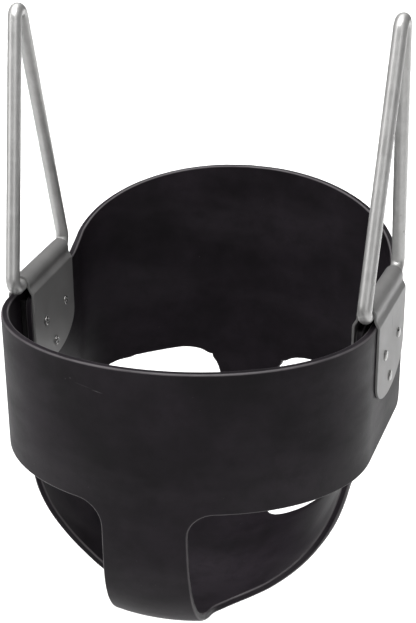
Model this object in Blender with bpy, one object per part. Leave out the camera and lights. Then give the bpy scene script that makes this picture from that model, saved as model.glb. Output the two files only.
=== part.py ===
"""Toddler bucket swing: a moulded rubber bucket hung from two rod triangles by folded hinge plates.

Lengths are in millimetres and become metres when an object is made. The hangers' bar axes lie at z = 0
while the shapes are worked out, and add_object raises everything so that the bucket's lowest point is at
z = 0. Right is +X and the front band faces -Y. A bracket is the stack of parts under one hanger's bar.
"""
import math

import bpy
import numpy as np
from mathutils import Vector
from mathutils.geometry import delaunay_2d_cdt

MM = 0.001

# Driving sizes
BAR_X = 145.0             # centre plane to each hanger's bar
TOE = math.radians(4.0)   # the brackets splay outward towards the back
LEAN = math.radians(1.6)  # and the hangers lean outward towards the top
ROD_R = 5.6
GAP = 0.3                 # between pieces that touch
RUBBER = 6.0
PAD = 4.4
PLATE = 2.0

# Stack between the two legs of a hinge plate, outermost first: band, pad, shell
GRIP = RUBBER + PAD / 2 + 2 * GAP       # middle of the stack to each leg
LAYER = PAD / 2 + GAP + RUBBER / 2      # middle of the stack to the middle of the band or the shell

# Bucket
BAND_FRONT = 172.0        # centre of the front band's wall ahead of the bar's middle
BAND_TOP = -8.2
BAND_LOW = -121.2
BAND_REAR = 60.0          # where the band ends, behind the bar's middle
BOWL_FRONT = 170.0        # centre of the front strap's wall ahead of the bar's middle
BACK_CENTRE = 79.2        # the back's plan is half an ellipse about this centre
BACK_DEPTH = 73.6
ARC_CENTRE = -48.3        # both plans run straight through the brackets and turn to an ellipse ahead of this
WALL_FOOT = -130.5        # the wall is upright above this and curves under below it
BOWL_DEPTH = 124.0
TAB_TOP = -13.5           # top of the shell inside the hinge plate
BACK_RISE = 65.4          # height of the back's top edge over its ends
PINCH = 6.5               # how far the lower side walls are drawn in
STRAP_HALF = 33.2
STRAP_FILLET = 21.0
SEAM = 0.78               # share of the plan's radius where the front sheet meets the rear sheet
EDGE_R = 1.7              # rounding of every rubber edge

# Hinge plate
RIDGE_R = ROD_R + GAP + PLATE / 2
NECK = 8.0                # degrees the ridge wraps past its widest point
NECK_R = 7.0
FLARE = 32.0              # steepest slope from the neck out to the leg
CREASE_R = 1.6
PLATE_HALF = 51.5
PLATE_LOW = -81.0
PLATE_ARC = 25.0          # height of the plate's rounded lower end
RIVETS = ((-25.5, -40.7), (25.5, -40.7), (-3.0, -67.4))

# Rivet
SHANK_R = 2.5
HEAD_R = 4.3
HEAD_H = 1.7
TAIL_R = 4.0
TAIL_H = 1.5
TAIL_BORE = 1.6
RIVET_SIDES = 16

# Hanger
BAR_HALF = 66.0           # bar's middle to where the leg's centre line meets its own
SLIDE = 3.5               # the right bar sits this far back in its fold, the left one as far forward
HANGER_H = 233.3          # bar to where the two legs' centre lines meet
CORNER_R = 8.5
EYE_R = 7.6

# Mesh
CELL = 15.0               # size of the bucket's triangles
CURVE_STEPS = 14          # points on each span of a smooth curve
SHARP = math.radians(35)

# Placing
LIFT = BOWL_DEPTH - WALL_FOOT + RUBBER / 2
CENTRE_Y = 9.8           # brings the middle of the object's depth to y = 0


# ---------------------------------------------------------------- scene helpers

def material(name, colour, metallic, roughness):
    made = bpy.data.materials.new(name)
    made.use_nodes = True
    shader = made.node_tree.nodes["Principled BSDF"]
    shader.inputs["Base Color"].default_value = (*colour, 1.0)
    shader.inputs["Metallic"].default_value = metallic
    shader.inputs["Roughness"].default_value = roughness
    return made


def add_object(name, points, faces, surface, origin=(0.0, 0.0, 0.0)):
    """An object from points in millimetres, with its origin at a place in millimetres."""
    place = (np.array(origin) + (0.0, CENTRE_Y, LIFT)) * MM
    local = (np.asarray(points, float) - origin) * MM
    mesh = bpy.data.meshes.new(name)
    mesh.from_pydata([tuple(p) for p in local], [], [tuple(int(i) for i in f) for f in faces])
    mesh.shade_smooth()
    mesh.set_sharp_from_angle(angle=SHARP)
    if surface:
        mesh.materials.append(surface)
    made = bpy.data.objects.new(name, mesh)
    made.location = place
    bpy.context.collection.objects.link(made)
    return made


def cut(target, cutter, operation="DIFFERENCE"):
    """Cuts the target for good, so that its new edges can be marked sharp, and removes the cutter."""
    modifier = target.modifiers.new(cutter.name, "BOOLEAN")
    modifier.solver = "EXACT"
    modifier.operation = operation
    modifier.object = cutter
    whole = target.evaluated_get(bpy.context.evaluated_depsgraph_get())
    mesh = bpy.data.meshes.new_from_object(whole)
    target.modifiers.clear()
    target.data = mesh
    mesh.set_sharp_from_angle(angle=SHARP)
    bpy.data.objects.remove(cutter)


def from_bracket(points, side):
    """From bracket coordinates (outward, along the bar, up); side is 1 on the right and -1 on the left."""
    p = np.asarray(points, float)
    x = BAR_X + p[:, 0] * math.cos(TOE) + p[:, 1] * math.sin(TOE)
    y = p[:, 1] * math.cos(TOE) - p[:, 0] * math.sin(TOE)
    return np.stack([side * x, y, p[:, 2]], axis=1)


def facing(faces, side):
    """Turns the faces round on the mirrored side, so that they still point outward."""
    return [f if side > 0 else f[::-1] for f in faces]


def loft(rings, closed=False):
    """Points and faces that join rings of equal length, capped at both ends or joined end to end."""
    count = len(rings[0])
    points = np.concatenate(rings)
    faces = []
    spans = len(rings) if closed else len(rings) - 1
    for i in range(spans):
        a = i * count
        b = (i + 1) % len(rings) * count
        for j in range(count):
            k = (j + 1) % count
            faces.append((a + j, a + k, b + k, b + j))
    if not closed:
        faces.append(tuple(range(count))[::-1])
        faces.append(tuple(range(len(points) - count, len(points))))
    return points, faces


# ---------------------------------------------------------------- plan curves of the bucket

def ellipse_half_width(side, centre, depth):
    """Half width of the ellipse that touches the toed straight x = side + y tan(TOE)."""
    reach = side + math.tan(TOE) * centre
    return math.sqrt(reach ** 2 - (math.tan(TOE) * depth) ** 2)


def plan_curve(side, front, has_back):
    """Right half of a plan from the front centre: ellipse, toed straight, then the back's ellipse or an end."""
    slope = math.tan(TOE)
    depth = front + ARC_CENTRE
    width = ellipse_half_width(side, ARC_CENTRE, depth)
    touch = math.atan2(slope * depth, width)
    angle = np.linspace(math.pi / 2, touch, 90)
    ahead = np.stack([width * np.cos(angle), ARC_CENTRE - depth * np.sin(angle)], axis=1)
    end = BAND_REAR
    if has_back:
        width = ellipse_half_width(side, BACK_CENTRE, BACK_DEPTH)
        touch = math.atan2(slope * BACK_DEPTH, width)
        end = BACK_CENTRE - BACK_DEPTH * math.sin(touch)
    y = np.linspace(ahead[-1, 1], end, 60)[1:]
    straight = np.stack([side + slope * y, y], axis=1)
    if not has_back:
        return np.concatenate([ahead, straight])
    angle = np.linspace(-touch, math.pi / 2, 90)[1:]
    behind = np.stack([width * np.cos(angle), BACK_CENTRE + BACK_DEPTH * np.sin(angle)], axis=1)
    return np.concatenate([ahead, straight, behind])


def run_length(points):
    steps = np.linalg.norm(np.diff(points, axis=0), axis=1)
    return np.concatenate([[0.0], np.cumsum(steps)])


BAND_PLAN = plan_curve(BAR_X + LAYER, BAND_FRONT, has_back=False)
BAND_RUN = run_length(BAND_PLAN)
BOWL_PLAN = plan_curve(BAR_X - LAYER, BOWL_FRONT, has_back=True)
BOWL_ANGLE = np.arctan2(BOWL_PLAN[:, 1], BOWL_PLAN[:, 0])
BOWL_RADIUS = np.hypot(BOWL_PLAN[:, 0], BOWL_PLAN[:, 1])


# ---------------------------------------------------------------- bowl, the surface of the rear sheet

def smoothstep(t):
    t = np.clip(t, 0.0, 1.0)
    return t * t * (3.0 - 2.0 * t)


def plan_radius(phi):
    return np.interp(np.arctan2(np.sin(phi), np.abs(np.cos(phi))), BOWL_ANGLE, BOWL_RADIUS)


def roundness(phi):
    """Exponent of the bowl's section: a circle at the sides, squarer at the front and back."""
    tilt = np.degrees(np.arctan2(np.abs(np.sin(phi)), np.abs(np.cos(phi))))
    return 2.0 + 1.5 * smoothstep((tilt - 32.0) / 46.0)


def drawn_in(phi, z):
    """Share of PINCH by which the side wall stands in, strongest behind the leg hole at two thirds of its depth."""
    aside = np.degrees(np.arctan2(np.sin(phi), np.abs(np.cos(phi))))
    around = smoothstep((aside + 45.0) / 40.0) * smoothstep((42.0 - aside) / 24.0)
    return around * smoothstep((-95.0 - z) / 70.0) * smoothstep((z + 232.0) / 52.0)


def bowl(phi, level):
    """Level 0 is the bottom's centre, 1 the foot of the wall, and above it each unit is 100 mm of wall."""
    power = 2.0 / roundness(phi)
    turn = np.clip(1.0 - level, 0.0, 1.0) * math.pi / 2
    z = WALL_FOOT - BOWL_DEPTH * np.sin(turn) ** power + 100.0 * np.clip(level - 1.0, 0.0, None)
    radius = plan_radius(phi) * np.cos(turn) ** power - PINCH * drawn_in(phi, z)
    return np.stack([radius * np.cos(phi), radius * np.sin(phi), z], axis=-1)


def level_at_radius(phi, share):
    """Level whose radius is this share of the plan's radius."""
    power = roundness(phi)
    depth = (1.0 - share ** power) ** (1.0 / power)
    return 1.0 - np.arctan2(depth ** (power / 2), share ** (power / 2)) / (math.pi / 2)


def level_at_height(phi, z):
    if z >= WALL_FOOT:
        return 1.0 + (z - WALL_FOOT) / 100.0
    power = roundness(phi)
    depth = (WALL_FOOT - z) / BOWL_DEPTH
    share = (1.0 - depth ** power) ** (1.0 / power)
    return 1.0 - math.atan2(depth ** (power / 2), share ** (power / 2)) / (math.pi / 2)


def on_floor(x, y):
    """(phi, level) of the bowl's point over (x, y)."""
    phi = math.atan2(y, x)
    return phi, float(level_at_radius(phi, math.hypot(x, y) / plan_radius(phi)))


def on_wall(y, z):
    """(phi, level) on the straight part of the side wall."""
    phi = math.atan2(y, BAR_X - LAYER + math.tan(TOE) * y)
    return phi, level_at_height(phi, z)


def at_angle(degrees, z):
    """(phi, level) at a height, from the angle round the bucket."""
    phi = math.radians(degrees)
    return phi, level_at_height(phi, z)


def flat_radius_table():
    """Radius in a flat drawing of the bowl, for each level, that keeps small triangles in shape."""
    level = np.concatenate([np.linspace(0.004, 1.0, 300), np.linspace(1.0, 3.3, 200)[1:]])
    section = bowl(np.full_like(level, math.radians(40.0)), level)
    radius = np.hypot(section[:, 0], section[:, 1])
    steps = np.linalg.norm(np.diff(section, axis=0), axis=1)
    growth = steps / (0.5 * (radius[1:] + radius[:-1]))
    flat = radius[0] * np.exp(np.concatenate([[0.0], np.cumsum(growth)]))
    return np.concatenate([[0.0], level]), np.concatenate([[0.0], flat])


FLAT_LEVEL, FLAT_RADIUS = flat_radius_table()


def rear_flat(phi, level):
    """Place in the flat drawing of a point of the bowl."""
    radius = np.interp(level, FLAT_LEVEL, FLAT_RADIUS)
    across = radius * np.cos(phi)
    return np.stack([np.where(np.abs(across) < 1e-9, 0.0, across), radius * np.sin(phi)], axis=-1)


def rear_surface(flat):
    """Point of the rear sheet's mid surface, from its place in the flat drawing."""
    radius = np.hypot(flat[..., 0], flat[..., 1])
    level = np.interp(radius, FLAT_RADIUS, FLAT_LEVEL)
    return bowl(np.arctan2(flat[..., 1], flat[..., 0]), level)


# ---------------------------------------------------------------- band, the surface of the front sheet

def strap_section():
    """Down the strap's centre line to SEAM: run below BAND_TOP, height, and share of the radius."""
    phi = -math.pi / 2
    low = float(level_at_radius(phi, SEAM))
    level = np.linspace(1.0, low, 160)
    section = bowl(np.full_like(level, phi), level)
    run = run_length(section)
    start = BAND_TOP - WALL_FOOT
    return start + run, section[:, 2], -section[:, 1] / BOWL_FRONT


STRAP_RUN, STRAP_Z, STRAP_SHARE = strap_section()


def front_surface(flat):
    """Point of the front sheet: flat x runs along the band's plan, flat y down from its top edge."""
    along = flat[..., 0]
    down = flat[..., 1]
    x = np.interp(along, BAND_RUN, BAND_PLAN[:, 0])
    y = np.interp(along, BAND_RUN, BAND_PLAN[:, 1])
    foot = BAND_TOP - WALL_FOOT
    lean = np.clip(down / foot, 0.0, 1.0)
    ahead = np.clip((-PLATE_HALF - y) / (BAND_FRONT - PLATE_HALF), 0.0, None)
    y = y + (BAND_FRONT - BOWL_FRONT) * lean * ahead
    share = np.interp(down, STRAP_RUN, STRAP_SHARE)
    z = np.where(down < foot, BAND_TOP - down, np.interp(down, STRAP_RUN, STRAP_Z))
    wall = np.stack([x * share, y * share, z], axis=-1)
    phi = np.arctan2(y, x)
    under = bowl(phi, level_at_radius(phi, np.clip(share, 0.0, 1.0 - 1e-9)))
    blend = smoothstep((down - foot) / 40.0)[..., None]
    return wall * (1.0 - blend) + under * blend


# ---------------------------------------------------------------- outlines of the two sheets

def through(points):
    """Smooth curve through points (Catmull-Rom, centripetal)."""
    p = np.asarray(points, float)
    p = np.concatenate([[2 * p[0] - p[1]], p, [2 * p[-1] - p[-2]]])
    out = []
    for a, b, c, d in zip(p, p[1:], p[2:], p[3:]):
        t1 = np.linalg.norm(b - a) ** 0.5
        t2 = t1 + np.linalg.norm(c - b) ** 0.5
        t3 = t2 + np.linalg.norm(d - c) ** 0.5
        for t in np.linspace(t1, t2, CURVE_STEPS, endpoint=False):
            ab = a + (b - a) * t / t1
            bc = b + (c - b) * (t - t1) / (t2 - t1)
            cd = c + (d - c) * (t - t2) / (t3 - t2)
            abc = ab + (bc - ab) * t / t2
            bcd = bc + (cd - bc) * (t - t1) / (t3 - t1)
            out.append(abc + (bcd - abc) * (t - t1) / (t2 - t1))
    out.append(p[-2])
    return np.array(out)


def arc(centre, radius, start, end, steps=10):
    angle = np.radians(np.linspace(start, end, steps))
    return np.stack([centre[0] + radius * np.cos(angle), centre[1] + radius * np.sin(angle)], axis=1)


def evenly(flat, surface, spacing):
    """The same curve with points evenly spaced on the surface."""
    run = run_length(surface(flat))
    count = max(2, round(run[-1] / spacing))
    at = np.linspace(0.0, run[-1], count + 1)
    return np.stack([np.interp(at, run, flat[:, 0]), np.interp(at, run, flat[:, 1])], axis=1)


def join(pieces):
    """One closed outline from curves that each start where the one before ends."""
    return np.concatenate([piece[:-1] for piece in pieces])


def seam_angles():
    """Angles of the seam's points, from the centre plane to the strap's right edge."""
    angle = np.linspace(-math.pi / 2, -math.pi / 4, 400)
    x = SEAM * plan_radius(angle) * np.cos(angle)
    edge = np.interp(STRAP_HALF, x, angle)
    return np.linspace(-math.pi / 2, edge, 4)


def along_at_angle(phi):
    """Place along the band's plan whose point, at the depth of the seam, lies at this angle."""
    ahead = np.clip((-PLATE_HALF - BAND_PLAN[:, 1]) / (BAND_FRONT - PLATE_HALF), 0.0, None)
    foot_y = BAND_PLAN[:, 1] + (BAND_FRONT - BOWL_FRONT) * ahead
    angle = np.arctan2(foot_y, BAND_PLAN[:, 0])
    return np.interp(phi, angle, BAND_RUN)


def front_outline(cell):
    """Right half of the band with its strap, down to the seam."""
    length = BAND_RUN[-1] - EDGE_R
    top = EDGE_R
    low = BAND_TOP - BAND_LOW - EDGE_R
    corner = 9.0
    foot = STRAP_RUN[-1]
    half = STRAP_HALF - EDGE_R
    seam = along_at_angle(seam_angles())
    down = np.linspace(low + STRAP_FILLET, foot, 30)
    share = np.interp(down, STRAP_RUN, STRAP_SHARE)
    edge = np.interp(half / share, BAND_PLAN[:, 0], BAND_RUN)
    edge += (seam[-1] - edge[-1]) * smoothstep((down - down[0]) / (foot - down[0]))
    centre = (edge[0] + STRAP_FILLET, low + STRAP_FILLET)
    sides = [
        np.array([(0.0, top), (length - corner, top)]),
        arc((length - corner, top + corner), corner, -90, 0),
        np.array([(length, top + corner), (length, low - corner)]),
        arc((length - corner, low - corner), corner, 0, 90),
        np.array([(length - corner, low), (centre[0], low)]),
        arc(centre, STRAP_FILLET, 270, 180),
        np.stack([edge, down], axis=1),
    ]
    pieces = [evenly(densely(side), front_surface, cell) for side in sides]
    pieces.append(np.stack([seam[::-1], np.full(len(seam), foot)], axis=1))
    pieces.append(evenly(densely(np.array([(0.0, foot), (0.0, top)])), front_surface, cell))
    return join(pieces)


def densely(corners, steps=40):
    """A polyline with extra points on its long pieces."""
    if len(corners) > 2:
        return corners
    return corners[0] + (corners[1] - corners[0]) * np.linspace(0.0, 1.0, steps)[:, None]


def rear_flat_path(path):
    """Smooth curve in the flat drawing through (phi, level) points."""
    path = np.asarray(path, float)
    scaled = through(path * (150.0, 100.0)) / (150.0, 100.0)
    return rear_flat(scaled[:, 0], scaled[:, 1])


def back_edge():
    """Top edge from the bracket to the back's centre, as (phi, level)."""
    width = ellipse_half_width(BAR_X - LAYER, BACK_CENTRE, BACK_DEPTH)
    points = [on_wall(y, TAB_TOP) for y in (-39.0, 0.0, 48.0)]
    points.append(on_wall(64.0, TAB_TOP + 1.0))
    base = TAB_TOP + 6.5 - EDGE_R
    for t in np.radians((2.0, 10.0, 20.0, 30.0, 42.0, 54.0, 66.0, 78.0, 90.0)):
        phi = math.atan2(BACK_CENTRE + BACK_DEPTH * math.sin(t), width * math.cos(t))
        z = base + BACK_RISE * math.sin(t) ** 0.94
        points.append((phi, level_at_height(phi, z)))
    return points


def rear_outline(cell):
    """Right half of the shell: leg-hole edge, side tab and back, from the seam round to the centre plane."""
    seam = seam_angles()
    level = np.array([float(level_at_radius(phi, SEAM)) for phi in seam])
    leg_edge = [
        (seam[-1], level[-1]), on_floor(34.3, -106.0), on_floor(41.0, -94.3), on_floor(49.5, -86.0),
        on_floor(61.5, -80.6), on_floor(75.0, -79.4), at_angle(-42.8, -222.0), at_angle(-37.8, -204.0),
        at_angle(-34.0, -182.0), at_angle(-30.9, -164.0), at_angle(-27.7, -148.7), at_angle(-24.2, -133.4),
        on_wall(-52.4, -117.0), on_wall(-48.5, -98.0), on_wall(-47.5, -80.0), on_wall(-47.6, -50.0),
        on_wall(-48.0, TAB_TOP - 9.0), on_wall(-45.7, TAB_TOP - 2.4), on_wall(-39.0, TAB_TOP),
    ]
    top = back_edge()
    behind = np.linspace(top[-1][1], 0.0, 60)
    ahead = np.linspace(0.0, level[0], 30)
    centre = np.concatenate([
        rear_flat(np.full(len(behind), math.pi / 2), behind),
        rear_flat(np.full(len(ahead), -math.pi / 2), ahead),
    ])
    return join([
        rear_flat(seam, level),
        evenly(rear_flat_path(leg_edge), rear_surface, cell),
        evenly(rear_flat_path(top), rear_surface, cell),
        evenly(centre, rear_surface, cell),
    ])


def rear_hole(cell):
    """Outline of the right opening between the seat and the back."""
    loop = [
        at_angle(80.5, -154.0), at_angle(79.8, -146.0), at_angle(78.9, -139.6), at_angle(77.6, -134.2),
        at_angle(75.8, -129.7), at_angle(73.4, -126.2), at_angle(70.3, -124.1), at_angle(66.3, -123.7),
        at_angle(61.7, -125.5), at_angle(55.6, -128.2), at_angle(49.3, -131.0), at_angle(43.6, -133.8),
        at_angle(39.1, -138.3), at_angle(35.2, -148.5), at_angle(31.6, -167.0), at_angle(29.9, -192.5),
        at_angle(29.6, -217.0), on_floor(88.7, 55.0), on_floor(80.5, 51.3), on_floor(72.8, 49.3),
        on_floor(65.2, 48.3), on_floor(57.2, 49.0), on_floor(49.3, 52.3), on_floor(42.5, 59.4),
        on_floor(36.0, 72.2), on_floor(30.2, 92.0), at_angle(76.6, -230.0), at_angle(79.4, -205.0),
        at_angle(80.8, -178.0),
    ]
    lead = 3
    curve = rear_flat_path(loop[-lead:] + loop + loop[:lead + 1])
    once = curve[lead * CURVE_STEPS:(lead + len(loop)) * CURVE_STEPS + 1]
    return evenly(once, rear_surface, cell)[:-1]


# ---------------------------------------------------------------- from outlines to a moulded sheet

def inside(points, outline):
    """Which points lie inside a closed outline."""
    x, y = points[:, 0, None], points[:, 1, None]
    a = outline
    b = np.roll(outline, -1, axis=0)
    spans = (a[:, 1] > y) != (b[:, 1] > y)
    rise = np.where(b[:, 1] == a[:, 1], 1.0, b[:, 1] - a[:, 1])
    crossing = a[:, 0] + (y - a[:, 1]) / rise * (b[:, 0] - a[:, 0])
    return (np.sum(spans & (x < crossing), axis=1) % 2).astype(bool)


def front_grid(cell):
    """Points inside the front sheet's drawing, in staggered rows."""
    rows = np.arange(0.5 * cell, STRAP_RUN[-1], cell * 0.87)
    points = []
    for i, down in enumerate(rows):
        along = np.arange((0.5 + 0.5 * (i % 2)) * cell, BAND_RUN[-1], cell)
        points.append(np.stack([along, np.full(len(along), down)], axis=1))
    return np.concatenate(points)


def rear_grid(cell):
    """Points inside the rear sheet's drawing, in staggered rings."""
    level = FLAT_LEVEL[1]
    points = []
    ring = 0
    while level < FLAT_LEVEL[-1]:
        here = bowl(np.array([math.radians(40.0)]), np.array([level]))[0]
        radius = math.hypot(here[0], here[1])
        step = cell / max(radius, cell)
        phi = np.arange(-math.pi / 2 + step * (0.5 + 0.5 * (ring % 2)), math.pi / 2 - 0.3 * step, step)
        points.append(rear_flat(phi, np.full(len(phi), level)))
        ahead = bowl(np.array([math.radians(40.0)]), np.array([level + 0.01]))[0]
        level += 0.01 * cell * 0.87 / np.linalg.norm(ahead - here)
        ring += 1
    return np.concatenate(points)


def fill(outline, holes, grid, surface, cell):
    """Triangles that fill an outline less its holes: flat points and faces."""
    edges = np.concatenate([outline] + holes)
    keep = inside(grid, outline)
    for hole in holes:
        keep &= ~inside(grid, hole)
    grid = grid[keep]
    rim = surface(edges)
    near = np.linalg.norm(surface(grid)[:, None] - rim[None], axis=2).min(axis=1)
    grid = grid[near > 0.62 * cell]
    loops = []
    start = 0
    for loop in [outline] + holes:
        count = len(loop)
        loops += [(start + i, start + (i + 1) % count) for i in range(count)]
        start += count
    flat = np.concatenate([edges, grid])
    made = delaunay_2d_cdt([Vector(p) for p in flat], loops, [], 0, 1e-7)
    flat = np.array([(p.x, p.y) for p in made[0]])
    faces = np.array([f for f in made[2] if len(f) == 3])
    middle = flat[faces].mean(axis=1)
    keep = inside(middle, outline)
    for hole in holes:
        keep &= ~inside(middle, hole)
    return flat, faces[keep]


def normals_at(flat, surface):
    step = 0.02
    right = surface(flat + (step, 0.0)) - surface(flat - (step, 0.0))
    up = surface(flat + (0.0, step)) - surface(flat - (0.0, step))
    normal = np.cross(right, up)
    return normal / np.linalg.norm(normal, axis=1, keepdims=True)


def half_sheet(outline, holes, grid, surface, cell):
    """Mid surface of a half sheet: points, outward normals and faces turned outward."""
    flat, faces = fill(outline, holes, grid, surface, cell)
    points = surface(flat)
    normals = normals_at(flat, surface)
    centre = np.array([0.0, 0.0, WALL_FOOT + 40.0])
    if np.einsum("ij,ij->i", normals, points - centre).mean() < 0:
        normals = -normals
    a, b, c = points[faces[:, 0]], points[faces[:, 1]], points[faces[:, 2]]
    turned = np.einsum("ij,ij->i", np.cross(b - a, c - a), normals[faces].sum(axis=1)) < 0
    faces[turned] = faces[turned][:, ::-1]
    return points, normals, faces


def merge(sheets):
    """Joins sheets with their mirror images, making points that coincide one."""
    points, normals, faces = [], [], []
    start = 0
    for p, n, f in sheets:
        p = p.copy()
        p[np.abs(p[:, 0]) < 1e-3, 0] = 0.0
        for sign in (1.0, -1.0):
            points.append(p * (sign, 1.0, 1.0))
            normals.append(n * (sign, 1.0, 1.0))
            faces.append((f if sign > 0 else f[:, ::-1]) + start)
            start += len(p)
    points, normals, faces = np.concatenate(points), np.concatenate(normals), np.concatenate(faces)
    key = np.round(points / 0.02).astype(np.int64)
    _, first, index = np.unique(key, axis=0, return_index=True, return_inverse=True)
    index = index.reshape(-1)
    summed = np.zeros((len(first), 3))
    np.add.at(summed, index, normals)
    summed /= np.linalg.norm(summed, axis=1, keepdims=True)
    return points[first], summed, index[faces]


def boundary_loops(faces):
    """Loops of the sheet's free edges, each as point numbers in face order."""
    edges = {}
    for a, b, c in faces:
        for edge in ((a, b), (b, c), (c, a)):
            edges[(int(edge[0]), int(edge[1]))] = True
    after = {a: b for a, b in edges if (b, a) not in edges}
    loops = []
    while after:
        start = next(iter(after))
        loop = [start]
        step = after.pop(start)
        while step != start:
            loop.append(step)
            step = after.pop(step)
        loops.append(loop)
    return loops


def moulded(points, normals, faces, thickness, edge_r, edge_steps):
    """Closed solid of a sheet with rounded edges that reach edge_r past its free edges."""
    half = thickness / 2
    count = len(points)
    all_points = [points + normals * half, points - normals * half]
    all_faces = [tuple(f) for f in faces] + [tuple(f[::-1] + count) for f in faces]
    turn = np.linspace(0.0, math.pi / 2, edge_steps + 1)[1:]
    profile = [(edge_r * math.sin(t), half - edge_r * (1 - math.cos(t))) for t in turn]
    profile += [(out, -height) for out, height in reversed(profile)]
    start = 2 * count
    for loop in boundary_loops(faces):
        loop = np.array(loop)
        here = points[loop]
        tangent = np.roll(here, -1, axis=0) - np.roll(here, 1, axis=0)
        tangent /= np.linalg.norm(tangent, axis=1, keepdims=True)
        outward = np.cross(tangent, normals[loop])
        outward /= np.linalg.norm(outward, axis=1, keepdims=True)
        rows = [loop]
        for out, height in profile:
            all_points.append(here + outward * out + normals[loop] * height)
            rows.append(np.arange(start, start + len(loop)))
            start += len(loop)
        rows.append(loop + count)
        for upper, lower in zip(rows, rows[1:]):
            for i in range(len(loop)):
                j = (i + 1) % len(loop)
                all_faces.append((upper[j], upper[i], lower[i], lower[j]))
    return np.concatenate(all_points), all_faces


# ---------------------------------------------------------------- the pieces

def make_bucket(rubber):
    front = half_sheet(front_outline(CELL), [], front_grid(CELL), front_surface, CELL)
    rear = half_sheet(rear_outline(CELL), [rear_hole(CELL)], rear_grid(CELL), rear_surface, CELL)
    points, normals, faces = merge([front, rear])
    solid, solid_faces = moulded(points, normals, faces, RUBBER, EDGE_R, edge_steps=1)
    bucket = add_object("bucket_moulding", solid, solid_faces, rubber)
    for side in (1, -1):
        cut_rivet_holes(bucket, side)


def round_ring(out, radius, place, side):
    """Circle about the outward axis, centred on a rivet's place."""
    angle = np.linspace(0.0, 2 * math.pi, RIVET_SIDES, endpoint=False)
    along = place[0] + radius * np.cos(angle)
    up = place[1] + radius * np.sin(angle)
    return from_bracket(np.stack([np.full(RIVET_SIDES, out), along, up], axis=1), side)


def cut_rivet_holes(target, side):
    """Round holes for the rivets' shanks, through everything between the plate's legs."""
    reach = GRIP + PLATE + 4.0
    for number, place in enumerate(RIVETS, 1):
        rings = [round_ring(out, SHANK_R + GAP, place, side) for out in (-reach, reach)]
        points, faces = loft(rings)
        cut(target, add_object(f"cut_hole_{number}", points, facing(faces, side), None))


def fold_line(steps):
    """Middle of the folded sheet's section down one leg, and its direction: ridge, neck, flare and crease."""
    reach = GRIP + PLATE / 2
    flare = math.radians(FLARE)
    neck = math.radians(-NECK)
    points, angles = [], []
    for angle in np.linspace(math.pi / 2, neck, 2 * steps):
        points.append((RIDGE_R * math.cos(angle), RIDGE_R * math.sin(angle)))
        angles.append(angle)
    centre = np.array(points[-1]) + NECK_R * np.array((math.cos(neck), math.sin(neck)))
    for angle in np.linspace(neck, flare, steps)[1:]:
        points.append(tuple(centre - NECK_R * np.array((math.cos(angle), math.sin(angle)))))
        angles.append(angle)
    x, z = points[-1]
    length = (reach - CREASE_R * (1.0 - math.cos(flare)) - x) / math.sin(flare)
    centre = (reach - CREASE_R, z - length * math.cos(flare) - CREASE_R * math.sin(flare))
    for angle in np.linspace(flare, 0.0, steps):
        points.append((centre[0] + CREASE_R * math.cos(angle), centre[1] + CREASE_R * math.sin(angle)))
        angles.append(angle)
    return points, angles


def fold_outline():
    """Section of the hinge plate, across the bar: both faces of a strip folded over the rod."""
    points, angles = fold_line(5)
    points.append((points[-1][0], PLATE_LOW - 5.0))
    angles.append(0.0)
    facing_out = np.stack([np.cos(angles), np.sin(angles)], axis=1) * PLATE / 2
    outer = (np.array(points) + facing_out)[::-1]
    inner = (np.array(points) - facing_out)[::-1]
    mirror = np.array((-1.0, 1.0))
    return np.concatenate([outer, outer[-2::-1] * mirror, inner * mirror, inner[-2::-1]])


def plate_outline(half, top, low, arc_height, steps=22):
    """Outline of a plate or pad seen along the outward axis: straight sides and an elliptic lower end."""
    angle = np.linspace(0.0, -math.pi, steps)
    curve = np.stack([half * np.cos(angle), low + arc_height + arc_height * np.sin(angle)], axis=1)
    return np.concatenate([curve, [(-half, top), (half, top)]])


def slab(name, outline, out_low, out_high, side, surface):
    """Flat piece across the outward axis."""
    rings = []
    for out in (out_low, out_high):
        ring = np.stack([np.full(len(outline), out), outline[:, 0], outline[:, 1]], axis=1)
        rings.append(from_bracket(ring, side))
    points, faces = loft(rings)
    return add_object(name, points, facing([f[::-1] for f in faces], side), surface)


def make_plate(side, word, steel):
    section = fold_outline()
    rings = []
    for along in (-PLATE_HALF - 3.0, PLATE_HALF + 3.0):
        ring = np.stack([section[:, 0], np.full(len(section), along), section[:, 1]], axis=1)
        rings.append(from_bracket(ring, side))
    points, faces = loft(rings)
    plate = add_object(f"hinge_plate_{word}", points, facing([f[::-1] for f in faces], side), steel)
    outline = plate_outline(PLATE_HALF, RIDGE_R + 10.0, PLATE_LOW, PLATE_ARC)
    reach = GRIP + PLATE + 6.0
    cut(plate, slab("plate_shape", outline, -reach, reach, side, None), "INTERSECT")
    cut_rivet_holes(plate, side)


def make_pad(side, word, rubber):
    outline = plate_outline(PLATE_HALF - 2.5, TAB_TOP - 1.5, PLATE_LOW + 3.0, PLATE_ARC - 2.0)
    pad = slab(f"spacer_pad_{word}", outline, -PAD / 2, PAD / 2, side, rubber)
    cut_rivet_holes(pad, side)


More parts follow.
